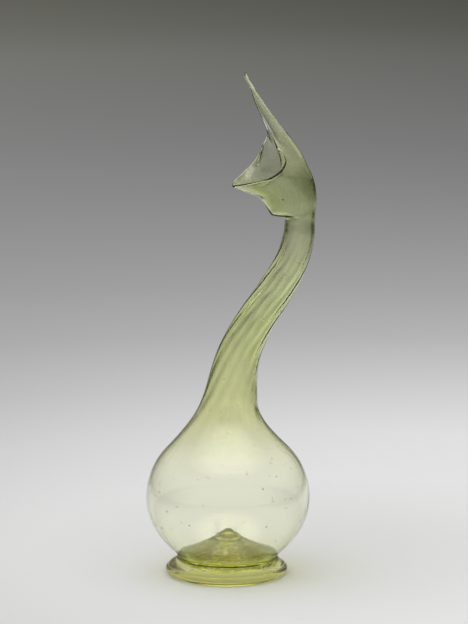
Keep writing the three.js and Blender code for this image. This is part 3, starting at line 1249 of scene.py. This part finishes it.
    def _thickness(self, outer: np.ndarray) -> np.ndarray:
        """Sets the wall: thick where the glass was gathered, and beaded at the rim.

        Args:
            outer: The rings of the outside.

        Returns:
            Thickness of the glass behind each point, at most as much as the leaf leaves room for.
        """
        height = outer[..., 2]
        gathering = smoothstep(height, self.body_middle, self.gathered_height)
        wall = self.body_wall + (self.neck_wall - self.body_wall) * gathering
        mouth_rows = sum(self.mouth_steps)
        share = (np.arange(len(outer)) - (len(outer) - 1 - mouth_rows)) / mouth_rows
        share = np.clip(share, 0, 1)[:, None]
        wall += (self.mouth_wall - self.neck_wall) * smoothstep(share, *self.mouth_wall_span)
        wall += (self.rim_wall - self.mouth_wall) * smoothstep(share, *self.rim_wall_span)
        wall += self.bead * smoothstep(share, *self.bead_span)
        facing = (1 - np.cos(self.angles)) / 2
        at_chin = np.exp(-(((share - self.chin_place) / self.chin_spread) ** 2))
        wall = wall + self.chin_wall * facing**self.chin_focus * at_chin
        wall -= self.rib_inner_depth * self._rib_wave(height)
        climb = (height - self.throat_height) / self.tip_rise
        at_tip = smoothstep(climb, *self.tip_closing_span)
        leaf = (self.leaf_wall_share + self.tip_closing * at_tip) * self._half_width(height)
        return eased(np.minimum(wall, leaf)[..., None], self.wall_ease_times)[..., 0]

    def _rounded_rim(self, outer: np.ndarray, inner: np.ndarray) -> np.ndarray:
        """Rounds the rim from the outside to the inside.

        Args:
            outer: The rings of the outside.
            inner: The rings of the inside.

        Returns:
            The rings between the last ones of both.
        """
        middle, half = (outer[-1] + inner[-1]) / 2, (outer[-1] - inner[-1]) / 2
        along = outer[-1] - outer[-2]
        along /= np.linalg.norm(along, axis=1, keepdims=True)
        along *= np.linalg.norm(half, axis=1, keepdims=True)
        turns = np.linspace(0, math.pi, self.lip_steps + 1)[1:-1]
        return np.array([middle + half * math.cos(turn) + along * math.sin(turn) for turn in turns])

    def _floor_rings(self, last: np.ndarray) -> np.ndarray:
        """Draws the body's floor, round the valley and up the kick.

        Args:
            last: The lowest ring of the inside wall.

        Returns:
            The rings.
        """
        edge = float(np.max(last[:, 0])) - self.axis
        level = float(last[0, 2])
        flare = edge - self.valley_flare
        valley = (edge - self.valley_inset, float(self._kick_height(edge)))
        corners = [(edge, level), valley, (flare, float(self._kick_height(flare)))]
        turn = bend(corners, self.valley_steps)
        up = self._kick_side(flare, self.kick_steps)[::-1]
        return np.array([self._level_ring(*spot) for spot in np.concatenate([turn[1:-1], up])])

    def _add_flow(self, piece: bpy.types.Object) -> None:
        """Stores where each point lies round the bubble and along it, which the cords follow.

        Args:
            piece: The drawn bubble.
        """
        count = len(piece.data.vertices)
        spots = np.empty(count * 3)
        piece.data.vertices.foreach_get("co", spots)
        spots = spots.reshape(-1, 3)
        places = np.empty(count, int)
        piece.data.attributes["place"].data.foreach_get("value", places)
        turn = 2 * math.pi * places / self.around
        flow = np.stack([np.cos(turn), np.sin(turn), spots[:, 2] * self.cord_stretch], 1)
        store_flow(piece, flow)


@dataclass
class CoilFoot:
    """The foot: two turns of one thread of glass, the first lying on the second.

    Its outline is drawn at every angle round it, and a pincer's short ridges stand up from its
    upper turn.
    """

    axis: float
    around: int = 180
    seat_radius: float = 34.1 * MM
    lean: float = -1 * MM
    rim_radius: float = 42 * MM
    lower_turn: float = 6.8 * MM
    seam_angle: float = 1.06
    seam_rise: float = 1.2 * MM
    seam_slope_share: float = 0.46
    seam_depth: float = 0.25 * MM
    upper_turn: float = 12.1 * MM
    step_angle: float = 0.5
    step_drop: float = 1.2 * MM
    marks_angle: float = -1.11
    marks_spacing: float = 0.075
    marks_count: int = 5
    marks_radius: float = 36.3 * MM
    marks_length: float = 2.4 * MM
    marks_height: float = 1.6 * MM
    marks_width_share: float = 0.28
    marks_lean: float = 0.4
    marks_from_seat: float = 0.1 * MM
    under_steps: int = 5
    turn_steps: int = 18
    upper_steps: int = 18
    inside_steps: int = 8
    cord_fineness: float = 60.0

    def made(self, finish: BlownGlass) -> bpy.types.Object:
        """Winds the foot and dresses it.

        Args:
            finish: Its glass.

        Returns:
            The finished piece.
        """
        angles = 2 * math.pi * np.arange(self.around) / self.around
        sections = []
        for angle in angles:
            turned = angle if angle <= math.pi else angle - 2 * math.pi
            outline = self._outline(turned)
            x = self.axis + outline[:, 0] * math.cos(angle)
            sections.append(np.stack([x, outline[:, 0] * math.sin(angle), outline[:, 1]], 1))
        piece = Gather("foot", np.array(sections), endless=True).piece
        spots = np.array([point.co for point in piece.data.vertices])
        turn = np.arctan2(spots[:, 1], spots[:, 0] - self.axis)
        store_flow(piece, np.column_stack([spots[:, :2] * self.cord_fineness, turn]))
        piece.data.materials.append(finish.made(self.axis))
        return piece

    def _outline(self, angle: float) -> np.ndarray:
        """Draws the foot's outline.

        Args:
            angle: Angle round the foot, from -pi to pi.

        Returns:
            Rows of radius and height, from its underside round its outside and over its top.
        """
        step = math.exp(-((angle / self.step_angle) ** 2))
        edge = self.lower_turn / 2
        middle = self.rim_radius + self.lean * math.cos(angle) - edge
        seat = self.seat_radius
        crest = self.upper_turn - self.step_drop * step
        under = bend([(seat + edge / 2, 0), (middle, 0)], self.under_steps)
        rounded = arc(
            (middle, edge), (edge, edge), -math.pi / 2, self.seam_angle, self.turn_steps
        )
        seam = rounded[-1] - np.array([self.seam_depth, 0])
        climb = seam[1] + (crest - seam[1]) * self.seam_slope_share
        inner = ((seam[0] + seat) / 2, climb)
        over_seam = (rounded[-1, 0], seam[1] + self.seam_rise)
        upper = bend([tuple(seam), over_seam, inner, (seat, crest)], self.upper_steps)
        inside = bend([(seat, crest), (seat, edge), (seat + edge / 2, 0)], self.inside_steps)
        outline = np.concatenate([under[:-1], rounded[:-1], upper[:-1], inside[:-1]])
        return outline + self._marks(angle, outline)

    def _marks(self, angle: float, outline: np.ndarray) -> np.ndarray:
        """Raises the pincer's short ridges.

        Args:
            angle: Angle round the foot.
            outline: The foot's outline there.

        Returns:
            How far each of its points moves out and up.
        """
        middle = (self.marks_count - 1) / 2
        width = self.marks_spacing * self.marks_width_share
        ridge = 0.0
        for mark in range(self.marks_count):
            at = self.marks_angle + (mark - middle) * self.marks_spacing
            ridge += math.exp(-(((angle - at) / width) ** 2))
        window = np.exp(-(((outline[:, 0] - self.marks_radius) / self.marks_length) ** 2))
        nearest = self.seat_radius + self.marks_from_seat
        window *= (outline[:, 1] > self.lower_turn) & (outline[:, 0] > nearest)
        push = self.marks_height * ridge * window
        return np.stack([self.marks_lean * push, push], 1)


@dataclass
class PontilScar:
    """The broken ring of glass that the iron left under the kick."""

    axis: float
    radius: float = 8.4 * MM
    thickness: float = 1.6 * MM
    height: float = 22.9 * MM
    around: int = 72
    across: int = 16
    ragged_share: float = 0.22
    ragged_counts: tuple[int, int] = (3, 7)
    ragged_shift: float = 0.6
    cord_fineness: float = 60.0

    def made(self, finish: BlownGlass) -> bpy.types.Object:
        """Makes the ring, thicker and thinner round its way as broken glass is.

        Args:
            finish: Its glass.

        Returns:
            The finished piece.
        """
        bpy.ops.object.select_all(action="DESELECT")
        bpy.ops.mesh.primitive_torus_add(
            location=(self.axis, 0, self.height),
            major_radius=self.radius,
            minor_radius=self.thickness / 2,
            major_segments=self.around,
            minor_segments=self.across,
        )
        piece = bpy.context.object
        piece.name = piece.data.name = "pontil_ring"
        bpy.ops.object.transform_apply(location=True)
        slow, quick = self.ragged_counts
        for point in piece.data.vertices:
            x, y = point.co.x - self.axis, point.co.y
            turn = math.atan2(y, x)
            broken = 1 + math.sin(slow * turn + self.ragged_shift) * math.sin(quick * turn)
            ragged = 1 - self.ragged_share * broken
            reach = math.hypot(x, y)
            drawn = (self.radius + (reach - self.radius) * ragged) / reach
            point.co.x, point.co.y = self.axis + x * drawn, y * drawn
            point.co.z = self.height + (point.co.z - self.height) * ragged
        bpy.ops.object.shade_smooth()
        spots = np.array([point.co for point in piece.data.vertices])
        store_flow(piece, spots * self.cord_fineness)
        piece.data.materials.append(finish.made(self.axis))
        return piece


# ---------------------------------------------------------------------------------------------
# Studio


@dataclass
class Studio:
    """Floor, light and camera: not part of the bottle.

    The world has a tone of its own for each kind of ray: horizon and zenith are seen, surround and
    canopy are mirrored, beyond is seen through the glass, and fill lights matt surfaces.
    """

    axis: float
    camera_height: float = 0.612
    target_height: float = 0.1825
    target_side: float = 0.0042
    sensor: float = 36.0
    focal_share: float = 3577 / 624
    farthest: float = 100.0
    lamp_place: tuple[float, float, float] = (-0.5, 0.1, 2.0)
    lamp_size: tuple[float, float] = (2.2, 2.2)
    lamp_power: float = 17.0
    lamp_aim: float = 0.15
    horizon: float = 0.11
    zenith: float = 0.05
    surround: float = 0.95
    low_surround: float = 0.18
    front_surround: float = 0.68
    front_span: tuple[float, float] = (-0.1, 0.8)
    rising_span: tuple[float, float] = (0.0, 0.55)
    surround_blue: float = 0.75
    canopy: float = 1.9
    canopy_span: tuple[float, float] = (0.7, 0.97)
    canopy_through: float = 0.16
    beyond: float = 0.06
    fill: float = 0.68

    def built(self) -> None:
        """Sets up the floor, the light and the camera."""
        Floor().made()
        self._lamp()
        self._world()
        self._camera()
        bpy.context.scene.view_settings.view_transform = "Standard"

    def _lamp(self) -> None:
        """Hangs one soft box overhead, aimed at the bottle."""
        lamp = bpy.data.lights.new("overhead", "AREA")
        lamp.shape = "RECTANGLE"
        lamp.size, lamp.size_y = self.lamp_size
        lamp.energy = self.lamp_power
        holder = bpy.data.objects.new("overhead", lamp)
        bpy.context.scene.collection.objects.link(holder)
        holder.location = self.lamp_place
        aim = np.array(self.lamp_place) - np.array([self.axis, 0, self.lamp_aim])
        fall = math.atan2(math.hypot(aim[0], aim[1]), aim[2])
        holder.rotation_euler = (fall, 0, math.atan2(aim[1], aim[0]) + math.pi / 2)
        holder.visible_camera = holder.visible_glossy = holder.visible_transmission = False

    def _world(self) -> None:
        """Lights the room: dark grey to the eye, pale to the glass, and plain to matt surfaces."""
        world = bpy.data.worlds.new("studio")
        bpy.context.scene.world = world
        sheet = NodeSheet(world)
        direction = sheet.add("ShaderNodeTexCoord").outputs["Generated"]
        parts = sheet.add("ShaderNodeSeparateXYZ", inputs={0: direction})
        across, ahead, up = (sheet.value(parts, axis) for axis in "XYZ")
        path = sheet.add("ShaderNodeLightPath")
        overhead = sheet.carried(up, self.canopy_span, (0.0, self.canopy))
        room = up.highest(0.0) * (self.zenith - self.horizon) + self.horizon
        front = across * math.sin(CAMERA_TURN) - ahead * math.cos(CAMERA_TURN)
        low = sheet.carried(front, self.front_span, (self.low_surround, self.front_surround))
        rising = sheet.carried(up, self.rising_span, (low, self.surround))
        mirrored = sheet.value(path, "Is Glossy Ray") * (overhead + rising)
        through = overhead * self.canopy_through + self.beyond
        through = sheet.value(path, "Is Transmission Ray") * through
        seen = sheet.value(path, "Is Camera Ray") * room
        soft = sheet.value(path, "Is Diffuse Ray") * self.fill
        tone = mirrored + through + seen + soft
        blue = tone - mirrored * (1 - self.surround_blue)
        colour = sheet.add("ShaderNodeCombineColor", inputs={0: tone, 1: tone, 2: blue}).outputs[0]
        background = sheet.add("ShaderNodeBackground", inputs={"Color": colour, "Strength": 1.0})
        sheet.add("ShaderNodeOutputWorld", inputs={"Surface": background.outputs[0]})

    def _camera(self) -> None:
        """Sets the camera at the photograph's angle."""
        right = np.array([math.cos(CAMERA_TURN), math.sin(CAMERA_TURN), 0])
        back = np.array([math.sin(CAMERA_TURN), -math.cos(CAMERA_TURN), 0])
        middle = np.array([self.axis, 0, 0]) + right * self.target_side
        eye = middle + back * CAMERA_REACH + np.array([0, 0, self.camera_height])
        camera = bpy.data.cameras.new("camera")
        camera.lens = self.focal_share * self.sensor
        camera.sensor_width = self.sensor
        camera.clip_end = self.farthest
        holder = bpy.data.objects.new("camera", camera)
        bpy.context.scene.collection.objects.link(holder)
        holder.location = eye
        fall = math.atan2(self.camera_height - self.target_height, CAMERA_REACH)
        holder.rotation_euler = (math.pi / 2 - fall, 0, CAMERA_TURN)
        bpy.context.scene.camera = holder


def main() -> None:
    """Builds the bottle's pieces in order and stands them in the studio."""
    logging.basicConfig(level=logging.INFO)
    low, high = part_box("bulb")
    axis = (low.x + high.x) / 2
    body_glass = BlownGlass("body_glass", kept=(0.84, 0.91, 0.2), density=100.0)
    foot_glass = BlownGlass(
        "foot_glass",
        kept=(0.8, 0.765, 0.02),
        density=50.0,
        shade=(0.94, 0.94, 0.82),
        gathered=((0.0, (1.0, 1.0, 1.0)), (0.012, (1.0, 0.985, 0.88))),
    )
    pieces = [
        (Vessel(axis).made(body_glass), ("bulb", "neck", "mouth"), Slot.BODY),
        (CoilFoot(axis).made(foot_glass), ("foot_coil",), Slot.FOOT),
        (PontilScar(axis).made(foot_glass), ("pontil_scar",), Slot.FOOT),
    ]
    for piece, nodes, slot in pieces:
        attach(piece, "root")
        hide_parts(*nodes)
        LOG.info("%s: %d faces, for %s", piece.name, len(piece.data.polygons), ", ".join(nodes))
    Studio(axis).built()


if __name__ == "__main__":
    main()
